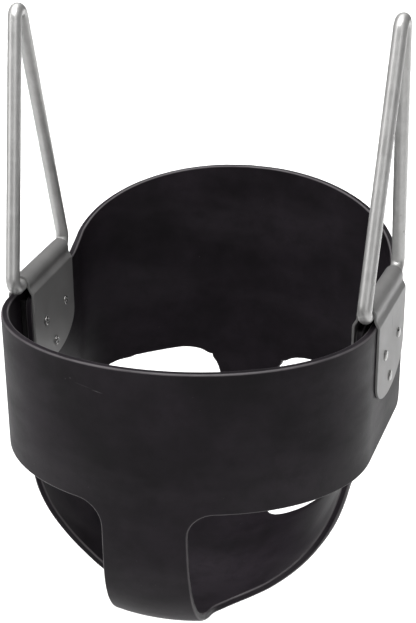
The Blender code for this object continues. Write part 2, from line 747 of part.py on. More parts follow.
def make_rivet(side, word, number, place, steel):
    """Domed head outside, shank through the stack, and a hollow clinched tail inside."""
    seat = GRIP + PLATE + GAP
    profile = [(seat + HEAD_H, 0.0)]
    for angle in np.radians((30.0, 60.0, 85.0)):
        profile.append((seat + HEAD_H * math.cos(angle), HEAD_R * math.sin(angle)))
    profile += [(seat, HEAD_R), (seat, SHANK_R), (-seat, SHANK_R), (-seat, TAIL_R)]
    profile += [(-seat - 0.6 * TAIL_H, TAIL_R), (-seat - TAIL_H, 0.8 * TAIL_R)]
    profile += [(-seat - TAIL_H, TAIL_BORE + 0.5), (-seat - 0.6 * TAIL_H, TAIL_BORE)]
    profile += [(-seat + 1.5, TAIL_BORE), (-seat + 1.5, 0.0)]
    rings = [round_ring(out, radius, place, side) for out, radius in profile[1:-1]]
    points, faces = loft(rings)
    faces = faces[:-2]
    tips = from_bracket([(out, *place) for out, _ in (profile[0], profile[-1])], side)
    points = np.concatenate([points, tips])
    last = len(points) - 2 - RIVET_SIDES
    for j in range(RIVET_SIDES):
        k = (j + 1) % RIVET_SIDES
        faces.append((len(points) - 2, k, j))
        faces.append((len(points) - 1, last + j, last + k))
    add_object(f"rivet_{word}_{number}", points, facing([f[::-1] for f in faces], side), steel)


def rounded_path(corners, radii, steps):
    """Closed path in a plane with each corner rounded."""
    out = []
    count = len(corners)
    for i in range(count):
        here = np.array(corners[i])
        before = np.array(corners[i - 1]) - here
        after = np.array(corners[(i + 1) % count]) - here
        before /= np.linalg.norm(before)
        after /= np.linalg.norm(after)
        opening = math.acos(float(before @ after))
        to_centre = (before + after) / np.linalg.norm(before + after)
        centre = here + to_centre * radii[i] / math.sin(opening / 2)
        start = here + before * radii[i] / math.tan(opening / 2) - centre
        sweep = math.pi - opening
        if start[0] * before[1] - start[1] * before[0] > 0:
            sweep = -sweep
        for t in np.linspace(0.0, 1.0, steps[i] + 1):
            c, s = math.cos(sweep * t), math.sin(sweep * t)
            out.append(centre + (c * start[0] - s * start[1], s * start[0] + c * start[1]))
    return np.array(out)


def make_hanger(side, word, steel):
    path = rounded_path(
        [(BAR_HALF, 0.0), (0.0, HANGER_H), (-BAR_HALF, 0.0)],
        [CORNER_R, EYE_R, CORNER_R], [5, 8, 5])
    ahead = np.roll(path, -1, axis=0) - path
    ahead /= np.linalg.norm(ahead, axis=1, keepdims=True)
    tangent = ahead + np.roll(ahead, 1, axis=0)
    tangent /= np.linalg.norm(tangent, axis=1, keepdims=True)
    angle = np.linspace(0.0, 2 * math.pi, 14, endpoint=False)
    across = ROD_R * np.cos(angle)
    out = ROD_R * np.sin(angle)
    rings = []
    for (y, z), (ty, tz) in zip(path, tangent):
        along = y - tz * across + side * SLIDE
        up = z + ty * across
        leaned_out = out * math.cos(LEAN) + up * math.sin(LEAN)
        leaned_up = up * math.cos(LEAN) - out * math.sin(LEAN)
        rings.append(from_bracket(np.stack([leaned_out, along, leaned_up], axis=1), side))
    points, faces = loft(rings, closed=True)
    add_object(f"hanger_{word}", points, facing(faces, side), steel, origin=(side * BAR_X, 0.0, 0.0))


def main():
    for old in list(bpy.data.objects):
        bpy.data.objects.remove(old)
    rubber = material("black_rubber", (0.012, 0.011, 0.012), 0.0, 0.5)
    pad_rubber = material("pad_rubber", (0.008, 0.008, 0.008), 0.0, 0.8)
    plate_steel = material("plate_steel", (0.33, 0.33, 0.34), 0.9, 0.42)
    rod_steel = material("rod_steel", (0.6, 0.6, 0.6), 0.95, 0.35)
    rivet_steel = material("rivet_steel", (0.5, 0.5, 0.5), 0.95, 0.3)
    make_bucket(rubber)
    for side, word in ((1, "right"), (-1, "left")):
        make_plate(side, word, plate_steel)
        make_pad(side, word, pad_rubber)
        make_hanger(side, word, rod_steel)
        for number, place in enumerate(RIVETS, 1):
            make_rivet(side, word, number, place, rivet_steel)


main()
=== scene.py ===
"""Looks of the toddler bucket swing: fine pieces, materials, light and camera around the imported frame.

Shapes are worked out in millimetres with the hangers' bar axes at z = 0, in the same way as the solids, and
add_piece brings them to the row frame in metres. Right is +X and the front band faces -Y. A bracket is the
stack of parts under one hanger's bar.
"""

import math

import bpy
import numpy as np
from mathutils import Matrix, Vector
from mathutils.geometry import delaunay_2d_cdt
from mathutils.kdtree import KDTree


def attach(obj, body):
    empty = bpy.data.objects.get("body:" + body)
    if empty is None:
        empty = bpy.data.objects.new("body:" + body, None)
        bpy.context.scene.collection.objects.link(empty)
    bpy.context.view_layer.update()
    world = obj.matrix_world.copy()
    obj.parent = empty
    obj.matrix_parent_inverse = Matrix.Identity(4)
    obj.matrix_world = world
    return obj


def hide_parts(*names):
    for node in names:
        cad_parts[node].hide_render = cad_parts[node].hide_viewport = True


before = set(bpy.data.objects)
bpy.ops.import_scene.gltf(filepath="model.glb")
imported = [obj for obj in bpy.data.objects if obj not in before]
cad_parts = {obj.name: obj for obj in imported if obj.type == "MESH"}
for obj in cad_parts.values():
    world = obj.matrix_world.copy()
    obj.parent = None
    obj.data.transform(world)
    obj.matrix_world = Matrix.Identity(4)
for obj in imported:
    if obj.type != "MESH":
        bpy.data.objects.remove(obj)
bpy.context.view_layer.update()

MM = 0.001

# Driving sizes, as in the solids
BAR_X = 145.0             # centre plane to each hanger's bar
TOE = math.radians(4.0)   # the brackets splay outward towards the back
LEAN = math.radians(1.6)  # and the hangers lean outward towards the top
ROD_R = 5.6
GAP = 0.3                 # between pieces that touch
RUBBER = 6.0
PAD = 4.4
PLATE = 2.0
GRIP = RUBBER + PAD / 2 + 2 * GAP       # middle of the stack to each leg of a hinge plate
LAYER = PAD / 2 + GAP + RUBBER / 2      # middle of the stack to the middle of the band or the shell

# Bucket
BAND_FRONT = 172.0        # centre of the front band's wall ahead of the bar's middle
BAND_TOP = -8.2
BAND_LOW = -121.2
BAND_REAR = 60.0
BOWL_FRONT = 170.0
BACK_CENTRE = 79.2        # the back's plan is half an ellipse about this centre
BACK_DEPTH = 73.6
ARC_CENTRE = -48.3        # both plans run straight through the brackets and turn to an ellipse ahead of this
WALL_FOOT = -130.5        # the wall is upright above this and curves under below it
BOWL_DEPTH = 124.0
TAB_TOP = -13.5
BACK_RISE = 65.4
WALL_UNIT = 100.0         # height of wall that a level of 1 above the foot stands for
PINCH = 6.5               # how far the lower side walls are drawn in
STRAP_HALF = 33.2
STRAP_FILLET = 21.0
STRAP_BLEND = 40.0        # run below the wall's foot over which the strap joins the bowl
SEAM = 0.78               # share of the plan's radius where the front sheet meets the rear sheet
EDGE_R = 1.7

# Hinge plate
RIDGE_R = ROD_R + GAP + PLATE / 2
NECK = 8.0                # degrees the ridge wraps past its widest point
NECK_R = 7.0
FLARE = 32.0              # steepest slope from the neck out to the leg
PLATE_HALF = 51.5
PLATE_LOW = -81.0
PLATE_ARC = 25.0
PLATE_EDGE = 0.4          # rounding of its cut edges
CREASE_R = 1.6
PAD_EDGE = 0.9
PAD_INSET = 2.5           # the pad's ends stand this far inside the plate's
RIVETS = ((-25.5, -40.7), (25.5, -40.7), (-3.0, -67.4))

# Rivet
SHANK_R = 2.5
HEAD_R = 4.3
HEAD_H = 1.7
TAIL_R = 4.0
TAIL_H = 1.5
TAIL_BORE = 1.6

# Hanger
BAR_HALF = 66.0           # bar's middle to where the leg's centre line meets its own
SLIDE = 3.5               # the right bar sits this far back in its fold, the left one as far forward
HANGER_H = 233.3
CORNER_R = 8.5
EYE_R = 7.6

# Mesh
CELL = 4.6                # size of the bucket's triangles
RIM_CELL = 2.3            # and along its edges
PLATE_CELL = 1.8
PAD_CELL = 3.0
ROD_CELL = 1.2
ROW = 0.87                # distance between rows of points, in cells
EDGE_CLEAR = 0.62         # how far the rows keep off the edges, in cells
SECTION = math.radians(40.0)            # where round the bowl its section is measured for the mesh
CURVE_STEPS = 14          # points on each span of a smooth curve
PLAN_STEPS = 600          # points on each stretch of a tabled curve
WELD = 0.05               # points closer than this become one
ROD_SIDES = 40
RIVET_SIDES = 40
SHARP = math.radians(35)

# Placing
LIFT = BOWL_DEPTH - WALL_FOOT + RUBBER / 2
CENTRE_Y = 9.8

# Studio, in metres
VIEW_ANGLES = (15.739, 21.079, -0.364)      # azimuth, elevation and roll in degrees
VIEW_LENS = 69.55                           # millimetres, as is the sensor
VIEW_SENSOR = 36.0
VIEW_DISTANCE = 1.0
VIEW_TARGET = (0.0027, 0.0098, 0.229)
FLOOR_Z = -0.35
FLOOR_REACH = 12.0
AIR = 0.13                                  # strength of the even light all round
LIGHT_AIM = (0.0, 0.0, 0.2)
SOFTBOXES = (                               # name, place, size and watts
    ("left_front", (-1.5, -0.95, 0.8), (0.45, 1.3), 8.5),
    ("right_front", (1.0, -1.45, 0.8), (0.35, 1.3), 5.0),
    ("right_side", (1.9, 0.1, 0.6), (0.7, 1.5), 0.3),
    ("overhead", (-0.2, -0.45, 1.8), (1.5, 1.1), 42.0),
)
BACKDROP_PLACE = (0.0, 5.2, 2.6)            # lights the floor behind the piece from straight above
BACKDROP_SIZE = (9.0, 9.0)
BACKDROP_POWER = 430.0
BACKDROP_SPREAD = math.radians(70.0)
# The rubber's colour is lightened by this share: a painted highlight along its rounded edges, partly rubbed
# wear.
EDGE_NAME = "edge_bend"                     # each point's share of the way round a rounded edge
SCUFF_PLACE = (-0.031, -0.1623, 0.2287)     # short scuff on the left of the front band
SCUFF_REACH = (0.0052, 0.004, 0.00045)
SCUFF_TURN = (0.0, 0.14, -0.2)
FAINT_SCUFFS = (
    ((-0.043, -0.1596, 0.2312), (0.0085, 0.004, 0.0004), 0.35),
    ((-0.0535, -0.1566, 0.2346), (0.0008, 0.004, 0.0007), 0.8),
)


# ---------------------------------------------------------------- scene helpers

def put(name, data):
    made = bpy.data.objects.new(name, data)
    bpy.context.scene.collection.objects.link(made)
    return made


def add_piece(name, body, node, surface, points, normals, faces, bends=None):
    """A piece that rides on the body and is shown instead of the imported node.

    Its points are in millimetres about the bars. Without normals its steeper edges are sharpened. Bends are
    kept for the finish to read.
    """
    placed = (np.asarray(points, float) + (0.0, CENTRE_Y, LIFT)) * MM
    mesh = bpy.data.meshes.new(name)
    mesh.from_pydata([tuple(p) for p in placed], [], [tuple(int(i) for i in f) for f in faces])
    mesh.shade_smooth()
    if normals is None:
        mesh.set_sharp_from_angle(angle=SHARP)
    else:
        mesh.normals_split_custom_set_from_vertices([tuple(n) for n in normals])
    if bends is not None:
        wear = mesh.attributes.new(EDGE_NAME, "FLOAT", "POINT")
        wear.data.foreach_set("value", bends.astype(np.float32))
    mesh.materials.append(surface)
    piece = put(name, mesh)
    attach(piece, body)
    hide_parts(node)


def from_bracket(points, side):
    """From bracket coordinates (outward, along the bar, up); side is 1 on the right and -1 on the left."""
    p = np.asarray(points, float)
    x = BAR_X + p[:, 0] * math.cos(TOE) + p[:, 1] * math.sin(TOE)
    y = p[:, 1] * math.cos(TOE) - p[:, 0] * math.sin(TOE)
    return np.stack([side * x, y, p[:, 2]], axis=1)


def facing(faces, side):
    """Turns the faces round on the mirrored side, so that they still point outward."""
    return [f if side > 0 else f[::-1] for f in faces]


def loft(rings, closed=False):
    """Points and faces that join rings of equal length, capped at both ends or joined end to end."""
    count = len(rings[0])
    points = np.concatenate(rings)
    faces = []
    spans = len(rings) if closed else len(rings) - 1
    for i in range(spans):
        a = i * count
        b = (i + 1) % len(rings) * count
        for j in range(count):
            k = (j + 1) % count
            faces.append((a + j, a + k, b + k, b + j))
    if not closed:
        faces.append(tuple(range(count))[::-1])
        faces.append(tuple(range(len(points) - count, len(points))))
    return points, faces


# ---------------------------------------------------------------- plan curves of the bucket

def ellipse_half_width(side, centre, depth):
    """Half width of the ellipse that touches the toed straight x = side + y tan(TOE)."""
    reach = side + math.tan(TOE) * centre
    return math.sqrt(reach ** 2 - (math.tan(TOE) * depth) ** 2)


def plan_curve(side, front, has_back):
    """Right half of a plan from the front centre: ellipse, toed straight, then a back ellipse or an end."""
    slope = math.tan(TOE)
    depth = front + ARC_CENTRE
    width = ellipse_half_width(side, ARC_CENTRE, depth)
    touch = math.atan2(slope * depth, width)
    angle = np.linspace(math.pi / 2, touch, PLAN_STEPS)
    ahead = np.stack([width * np.cos(angle), ARC_CENTRE - depth * np.sin(angle)], axis=1)
    end = BAND_REAR
    if has_back:
        width = ellipse_half_width(side, BACK_CENTRE, BACK_DEPTH)
        touch = math.atan2(slope * BACK_DEPTH, width)
        end = BACK_CENTRE - BACK_DEPTH * math.sin(touch)
    y = np.linspace(ahead[-1, 1], end, PLAN_STEPS)[1:]
    straight = np.stack([side + slope * y, y], axis=1)
    if not has_back:
        return np.concatenate([ahead, straight])
    angle = np.linspace(-touch, math.pi / 2, PLAN_STEPS)[1:]
    behind = np.stack([width * np.cos(angle), BACK_CENTRE + BACK_DEPTH * np.sin(angle)], axis=1)
    return np.concatenate([ahead, straight, behind])


def run_length(points):
    steps = np.linalg.norm(np.diff(points, axis=0), axis=1)
    return np.concatenate([[0.0], np.cumsum(steps)])


BAND_PLAN = plan_curve(BAR_X + LAYER, BAND_FRONT, has_back=False)
BAND_RUN = run_length(BAND_PLAN)
BOWL_PLAN = plan_curve(BAR_X - LAYER, BOWL_FRONT, has_back=True)
BOWL_ANGLE = np.arctan2(BOWL_PLAN[:, 1], BOWL_PLAN[:, 0])
BOWL_RADIUS = np.hypot(BOWL_PLAN[:, 0], BOWL_PLAN[:, 1])


# ---------------------------------------------------------------- bowl, the surface of the rear sheet

def smoothstep(t):
    t = np.clip(t, 0.0, 1.0)
    return t * t * (3.0 - 2.0 * t)


def plan_radius(phi):
    return np.interp(np.arctan2(np.sin(phi), np.abs(np.cos(phi))), BOWL_ANGLE, BOWL_RADIUS)


def roundness(phi):
    """Exponent of the bowl's section: a circle at the sides, squarer at the front and back."""
    tilt = np.degrees(np.arctan2(np.abs(np.sin(phi)), np.abs(np.cos(phi))))
    return 2.0 + 1.5 * smoothstep((tilt - 32.0) / 46.0)


def drawn_in(phi, z):
    """Share of PINCH by which the side wall stands in, most behind the leg hole, low on the bucket."""
    aside = np.degrees(np.arctan2(np.sin(phi), np.abs(np.cos(phi))))
    around = smoothstep((aside + 45.0) / 40.0) * smoothstep((42.0 - aside) / 24.0)
    return around * smoothstep((-95.0 - z) / 70.0) * smoothstep((z + 232.0) / 52.0)


def bowl(phi, level):
    """Level 0 is the bottom's centre, 1 the foot of the wall, and above it each unit is WALL_UNIT of wall."""
    power = 2.0 / roundness(phi)
    turn = np.clip(1.0 - level, 0.0, 1.0) * math.pi / 2
    z = WALL_FOOT - BOWL_DEPTH * np.sin(turn) ** power + WALL_UNIT * np.clip(level - 1.0, 0.0, None)
    radius = plan_radius(phi) * np.cos(turn) ** power - PINCH * drawn_in(phi, z)
    return np.stack([radius * np.cos(phi), radius * np.sin(phi), z], axis=-1)


def level_at_radius(phi, share):
    """Level whose radius is this share of the plan's radius."""
    power = roundness(phi)
    depth = (1.0 - share ** power) ** (1.0 / power)
    return 1.0 - np.arctan2(depth ** (power / 2), share ** (power / 2)) / (math.pi / 2)


def level_at_height(phi, z):
    if z >= WALL_FOOT:
        return 1.0 + (z - WALL_FOOT) / WALL_UNIT
    power = roundness(phi)
    depth = (WALL_FOOT - z) / BOWL_DEPTH
    share = (1.0 - depth ** power) ** (1.0 / power)
    return 1.0 - math.atan2(depth ** (power / 2), share ** (power / 2)) / (math.pi / 2)


def on_floor(x, y):
    """(phi, level) of the bowl's point over (x, y)."""
    phi = math.atan2(y, x)
    return phi, float(level_at_radius(phi, math.hypot(x, y) / plan_radius(phi)))


def on_wall(y, z):
    """(phi, level) on the straight part of the side wall."""
    phi = math.atan2(y, BAR_X - LAYER + math.tan(TOE) * y)
    return phi, level_at_height(phi, z)


def at_angle(degrees, z):
    """(phi, level) at a height, from the angle round the bucket."""
    phi = math.radians(degrees)
    return phi, level_at_height(phi, z)


def flat_radius_table():
    """Radius in a flat drawing of the bowl, for each level, that keeps small triangles in shape."""
    level = np.concatenate([np.linspace(0.004, 1.0, 2 * PLAN_STEPS), np.linspace(1.0, 3.3, PLAN_STEPS)[1:]])
    section = bowl(np.full_like(level, SECTION), level)
    radius = np.hypot(section[:, 0], section[:, 1])
    steps = np.linalg.norm(np.diff(section, axis=0), axis=1)
    growth = steps / (0.5 * (radius[1:] + radius[:-1]))
    flat = radius[0] * np.exp(np.concatenate([[0.0], np.cumsum(growth)]))
    return np.concatenate([[0.0], level]), np.concatenate([[0.0], flat])


FLAT_LEVEL, FLAT_RADIUS = flat_radius_table()


def rear_flat(phi, level):
    """Place in the flat drawing of a point of the bowl."""
    radius = np.interp(level, FLAT_LEVEL, FLAT_RADIUS)
    across = radius * np.cos(phi)
    return np.stack([np.where(np.abs(across) < 1e-9, 0.0, across), radius * np.sin(phi)], axis=-1)


def rear_surface(flat):
    """Point of the rear sheet's mid surface, from its place in the flat drawing."""
    radius = np.hypot(flat[..., 0], flat[..., 1])
    level = np.interp(radius, FLAT_RADIUS, FLAT_LEVEL)
    return bowl(np.arctan2(flat[..., 1], flat[..., 0]), level)


# ---------------------------------------------------------------- band, the surface of the front sheet

def strap_section():
    """Down the strap's centre line to SEAM: run below BAND_TOP, height, and share of the radius."""
    phi = -math.pi / 2
    low = float(level_at_radius(phi, SEAM))
    level = np.linspace(1.0, low, PLAN_STEPS)
    section = bowl(np.full_like(level, phi), level)
    run = run_length(section)
    start = BAND_TOP - WALL_FOOT
    return start + run, section[:, 2], -section[:, 1] / BOWL_FRONT


STRAP_RUN, STRAP_Z, STRAP_SHARE = strap_section()


def front_surface(flat):
    """Point of the front sheet: flat x runs along the band's plan, flat y down from its top edge."""
    along = flat[..., 0]
    down = flat[..., 1]
    x = np.interp(along, BAND_RUN, BAND_PLAN[:, 0])
    y = np.interp(along, BAND_RUN, BAND_PLAN[:, 1])
    foot = BAND_TOP - WALL_FOOT
    lean = np.clip(down / foot, 0.0, 1.0)
    ahead = np.clip((-PLATE_HALF - y) / (BAND_FRONT - PLATE_HALF), 0.0, None)
    y = y + (BAND_FRONT - BOWL_FRONT) * lean * ahead
    share = np.interp(down, STRAP_RUN, STRAP_SHARE)
    z = np.where(down < foot, BAND_TOP - down, np.interp(down, STRAP_RUN, STRAP_Z))
    wall = np.stack([x * share, y * share, z], axis=-1)
    phi = np.arctan2(y, x)
    under = bowl(phi, level_at_radius(phi, np.clip(share, 0.0, 1.0 - 1e-9)))
    blend = smoothstep((down - foot) / STRAP_BLEND)[..., None]
    return wall * (1.0 - blend) + under * blend


# ---------------------------------------------------------------- outlines of the two sheets

def through(points):
    """Smooth curve through points (Catmull-Rom, centripetal)."""
    p = np.asarray(points, float)
    p = np.concatenate([[2 * p[0] - p[1]], p, [2 * p[-1] - p[-2]]])
    out = []
    for a, b, c, d in zip(p, p[1:], p[2:], p[3:]):
        t1 = np.linalg.norm(b - a) ** 0.5
        t2 = t1 + np.linalg.norm(c - b) ** 0.5
        t3 = t2 + np.linalg.norm(d - c) ** 0.5
        for t in np.linspace(t1, t2, CURVE_STEPS, endpoint=False):
            ab = a + (b - a) * t / t1
            bc = b + (c - b) * (t - t1) / (t2 - t1)
            cd = c + (d - c) * (t - t2) / (t3 - t2)
            abc = ab + (bc - ab) * t / t2
            bcd = bc + (cd - bc) * (t - t1) / (t3 - t1)
            out.append(abc + (bcd - abc) * (t - t1) / (t2 - t1))
    out.append(p[-2])
    return np.array(out)


def arc(centre, radius, start, end, steps=10):
    angle = np.radians(np.linspace(start, end, steps))
    return np.stack([centre[0] + radius * np.cos(angle), centre[1] + radius * np.sin(angle)], axis=1)


def evenly(flat, surface, spacing):
    """The same curve with points evenly spaced on the surface."""
    run = run_length(surface(flat))
    count = max(2, round(run[-1] / spacing))
    at = np.linspace(0.0, run[-1], count + 1)
    return np.stack([np.interp(at, run, flat[:, 0]), np.interp(at, run, flat[:, 1])], axis=1)


def join(pieces):
    """One closed outline from curves that each start where the one before ends."""
    return np.concatenate([piece[:-1] for piece in pieces])


def seam_angles():
    """Angles of the seam's points, from the centre plane to the strap's right edge."""
    angle = np.linspace(-math.pi / 2, -math.pi / 4, PLAN_STEPS)
    x = SEAM * plan_radius(angle) * np.cos(angle)
    edge = np.interp(STRAP_HALF, x, angle)
    return np.linspace(-math.pi / 2, edge, round(STRAP_HALF / RIM_CELL) + 1)


def along_at_angle(phi):
    """Place along the band's plan whose point, at the depth of the seam, lies at this angle."""
    ahead = np.clip((-PLATE_HALF - BAND_PLAN[:, 1]) / (BAND_FRONT - PLATE_HALF), 0.0, None)
    foot_y = BAND_PLAN[:, 1] + (BAND_FRONT - BOWL_FRONT) * ahead
    angle = np.arctan2(foot_y, BAND_PLAN[:, 0])
    return np.interp(phi, angle, BAND_RUN)


def front_outline(cell):
    """Right half of the band with its strap, down to the seam."""
    length = BAND_RUN[-1] - EDGE_R
    top = EDGE_R
    low = BAND_TOP - BAND_LOW - EDGE_R
    corner = 9.0
    foot = STRAP_RUN[-1]
    half = STRAP_HALF - EDGE_R
    seam = along_at_angle(seam_angles())
    down = np.linspace(low + STRAP_FILLET, foot, 30)
    share = np.interp(down, STRAP_RUN, STRAP_SHARE)
    edge = np.interp(half / share, BAND_PLAN[:, 0], BAND_RUN)
    edge += (seam[-1] - edge[-1]) * smoothstep((down - down[0]) / (foot - down[0]))
    centre = (edge[0] + STRAP_FILLET, low + STRAP_FILLET)
    sides = [
        np.array([(0.0, top), (length - corner, top)]),
        arc((length - corner, top + corner), corner, -90, 0),
        np.array([(length, top + corner), (length, low - corner)]),
        arc((length - corner, low - corner), corner, 0, 90),
        np.array([(length - corner, low), (centre[0], low)]),
        arc(centre, STRAP_FILLET, 270, 180),
        np.stack([edge, down], axis=1),
    ]
    pieces = [evenly(densely(side), front_surface, cell) for side in sides]
    pieces.append(np.stack([seam[::-1], np.full(len(seam), foot)], axis=1))
    pieces.append(evenly(densely(np.array([(0.0, foot), (0.0, top)])), front_surface, cell))
    return join(pieces)


def densely(corners, steps=40):
    """A polyline with extra points on its long pieces."""
    if len(corners) > 2:
        return corners
    return corners[0] + (corners[1] - corners[0]) * np.linspace(0.0, 1.0, steps)[:, None]


def rear_flat_path(path):
    """Smooth curve in the flat drawing through (phi, level) points."""
    millimetres = (150.0, 100.0)        # roughly, for a radian and for a level
    smooth = through(np.asarray(path, float) * millimetres) / millimetres
    return rear_flat(smooth[:, 0], smooth[:, 1])


def back_edge():
    """Top edge from the bracket to the back's centre, as (phi, level)."""
    width = ellipse_half_width(BAR_X - LAYER, BACK_CENTRE, BACK_DEPTH)
    points = [on_wall(y, TAB_TOP) for y in (-39.0, 0.0, 48.0)]
    points.append(on_wall(64.0, TAB_TOP + 1.0))
    base = TAB_TOP + 6.5 - EDGE_R
    for t in np.radians((2.0, 10.0, 20.0, 30.0, 42.0, 54.0, 66.0, 78.0, 90.0)):
        phi = math.atan2(BACK_CENTRE + BACK_DEPTH * math.sin(t), width * math.cos(t))
        z = base + BACK_RISE * math.sin(t) ** 0.94
        points.append((phi, level_at_height(phi, z)))
    return points


def rear_outline(cell):
    """Right half of the shell: leg-hole edge, side tab and back, from the seam round to the centre plane."""
    seam = seam_angles()
    level = np.array([float(level_at_radius(phi, SEAM)) for phi in seam])
    leg_edge = [(seam[-1], level[-1])]
    leg_edge += [on_floor(*spot) for spot in (
        (34.3, -106.0), (41.0, -94.3), (49.5, -86.0), (61.5, -80.6), (75.0, -79.4),
    )]
    leg_edge += [at_angle(*spot) for spot in (
        (-42.8, -222.0), (-37.8, -204.0), (-34.0, -182.0), (-30.9, -164.0), (-27.7, -148.7), (-24.2, -133.4),
    )]
    leg_edge += [on_wall(*spot) for spot in (
        (-52.4, -117.0), (-48.5, -98.0), (-47.5, -80.0), (-47.6, -50.0),
        (-48.0, TAB_TOP - 9.0), (-45.7, TAB_TOP - 2.4), (-39.0, TAB_TOP),
    )]
    top = back_edge()
    behind = np.linspace(top[-1][1], 0.0, 6 * PLAN_STEPS)
    ahead = np.linspace(0.0, level[0], 3 * PLAN_STEPS)[1:]
    centre = np.concatenate([
        rear_flat(np.full(len(behind), math.pi / 2), behind),
        rear_flat(np.full(len(ahead), -math.pi / 2), ahead),
    ])
    return join([
        rear_flat(seam, level),
        evenly(rear_flat_path(leg_edge), rear_surface, cell),
        evenly(rear_flat_path(top), rear_surface, cell),
        evenly(centre, rear_surface, cell),
    ])


def rear_hole(cell):
    """Outline of the right opening between the seat and the back."""
    loop = [at_angle(*spot) for spot in (
        (80.5, -154.0), (79.8, -146.0), (78.9, -139.6), (77.6, -134.2), (75.8, -129.7), (73.4, -126.2),
        (70.3, -124.1), (66.3, -123.7), (61.7, -125.5), (55.6, -128.2), (49.3, -131.0), (43.6, -133.8),
        (39.1, -138.3), (35.2, -148.5), (31.6, -167.0), (29.9, -192.5), (29.6, -217.0),
    )]
    loop += [on_floor(*spot) for spot in (
        (88.7, 55.0), (80.5, 51.3), (72.8, 49.3), (65.2, 48.3), (57.2, 49.0), (49.3, 52.3), (42.5, 59.4),
        (36.0, 72.2), (30.2, 92.0),
    )]
    loop += [at_angle(*spot) for spot in ((76.6, -230.0), (79.4, -205.0), (80.8, -178.0))]
    lead = 3
    curve = rear_flat_path(loop[-lead:] + loop + loop[:lead + 1])
    once = curve[lead * CURVE_STEPS:(lead + len(loop)) * CURVE_STEPS + 1]
    return evenly(once, rear_surface, cell)[:-1]


# ---------------------------------------------------------------- from outlines to a moulded sheet

def inside(points, outline):
    """Which points lie inside a closed outline."""
    a = outline
    b = np.roll(outline, -1, axis=0)
    rise = np.where(b[:, 1] == a[:, 1], 1.0, b[:, 1] - a[:, 1])
    found = []
    for block in np.array_split(points, 1 + len(points) // 4000):
        x, y = block[:, 0, None], block[:, 1, None]
        spans = (a[:, 1] > y) != (b[:, 1] > y)
        crossing = a[:, 0] + (y - a[:, 1]) / rise * (b[:, 0] - a[:, 0])
        found.append(np.sum(spans & (x < crossing), axis=1) % 2)
    return np.concatenate(found).astype(bool)


def front_grid(cell):
    """Points inside the front sheet's drawing, in staggered rows."""
    rows = np.arange(0.5 * cell, STRAP_RUN[-1], cell * ROW)
    points = []
    for i, down in enumerate(rows):
        along = np.arange((0.5 + 0.5 * (i % 2)) * cell, BAND_RUN[-1], cell)
        points.append(np.stack([along, np.full(len(along), down)], axis=1))
    return np.concatenate(points)


def rear_grid(cell):
    """Points inside the rear sheet's drawing, in staggered rings."""
    level = FLAT_LEVEL[1]
    nudge = 0.01
    points = []
    ring = 0
    while level < FLAT_LEVEL[-1]:
        here = bowl(np.array([SECTION]), np.array([level]))[0]
        radius = math.hypot(here[0], here[1])
        step = cell / max(radius, cell)
        phi = np.arange(-math.pi / 2 + step * (0.5 + 0.5 * (ring % 2)), math.pi / 2 - 0.3 * step, step)
        if radius > cell:
            points.append(rear_flat(phi, np.full(len(phi), level)))
        ahead = bowl(np.array([SECTION]), np.array([level + nudge]))[0]
        level += nudge * cell * ROW / np.linalg.norm(ahead - here)
        ring += 1
    return np.concatenate(points)


def flat_grid(outline, cell):
    """Points in staggered rows over the whole of an outline's box."""
    low, high = outline.min(axis=0), outline.max(axis=0)
    points = []
    for i, y in enumerate(np.arange(low[1] + 0.5 * cell, high[1], cell * ROW)):
        x = np.arange(low[0] + (0.5 + 0.5 * (i % 2)) * cell, high[0], cell)
        points.append(np.stack([x, np.full(len(x), y)], axis=1))
    return np.concatenate(points)


def tree_of(points):
    tree = KDTree(len(points))
    for i, p in enumerate(points):
        tree.insert(p, i)
    tree.balance()
    return tree


def fill(outline, holes, grid, surface, cell):
    """Triangles that fill an outline less its holes: flat points and faces."""
    edges = np.concatenate([outline] + holes)
    keep = inside(grid, outline)
    for hole in holes:
        keep &= ~inside(grid, hole)
    grid = grid[keep]
    rim = tree_of(surface(edges))
    near = np.array([rim.find(p)[2] for p in surface(grid)])
    grid = grid[near > EDGE_CLEAR * cell]
    loops = []
    start = 0
    for loop in [outline] + holes:
        count = len(loop)
        loops += [(start + i, start + (i + 1) % count) for i in range(count)]
        start += count
    flat = np.concatenate([edges, grid])
    made = delaunay_2d_cdt([Vector(p) for p in flat], loops, [], 0, 1e-7)
    flat = np.array([(p.x, p.y) for p in made[0]])
    faces = np.array([f for f in made[2] if len(f) == 3])
    middle = flat[faces].mean(axis=1)
    keep = inside(middle, outline)
    for hole in holes:
        keep &= ~inside(middle, hole)
    return flat, faces[keep]


def normals_at(flat, surface):
    step = 0.02
    right = surface(flat + (step, 0.0)) - surface(flat - (step, 0.0))
    up = surface(flat + (0.0, step)) - surface(flat - (0.0, step))
    normal = np.cross(right, up)
    return normal / np.linalg.norm(normal, axis=1, keepdims=True)


def mid_sheet(outline, holes, grid, surface, cell, centre):
    """Mid surface of a sheet: points, normals and faces, all turned away from the centre."""
    flat, faces = fill(outline, holes, grid, surface, cell)
    points = surface(flat)
    normals = normals_at(flat, surface)
    if np.einsum("ij,ij->i", normals, points - centre).mean() < 0:
        normals = -normals
    a, b, c = points[faces[:, 0]], points[faces[:, 1]], points[faces[:, 2]]
    turned = np.einsum("ij,ij->i", np.cross(b - a, c - a), normals[faces].sum(axis=1)) < 0
    faces[turned] = faces[turned][:, ::-1]
    return points, normals, faces


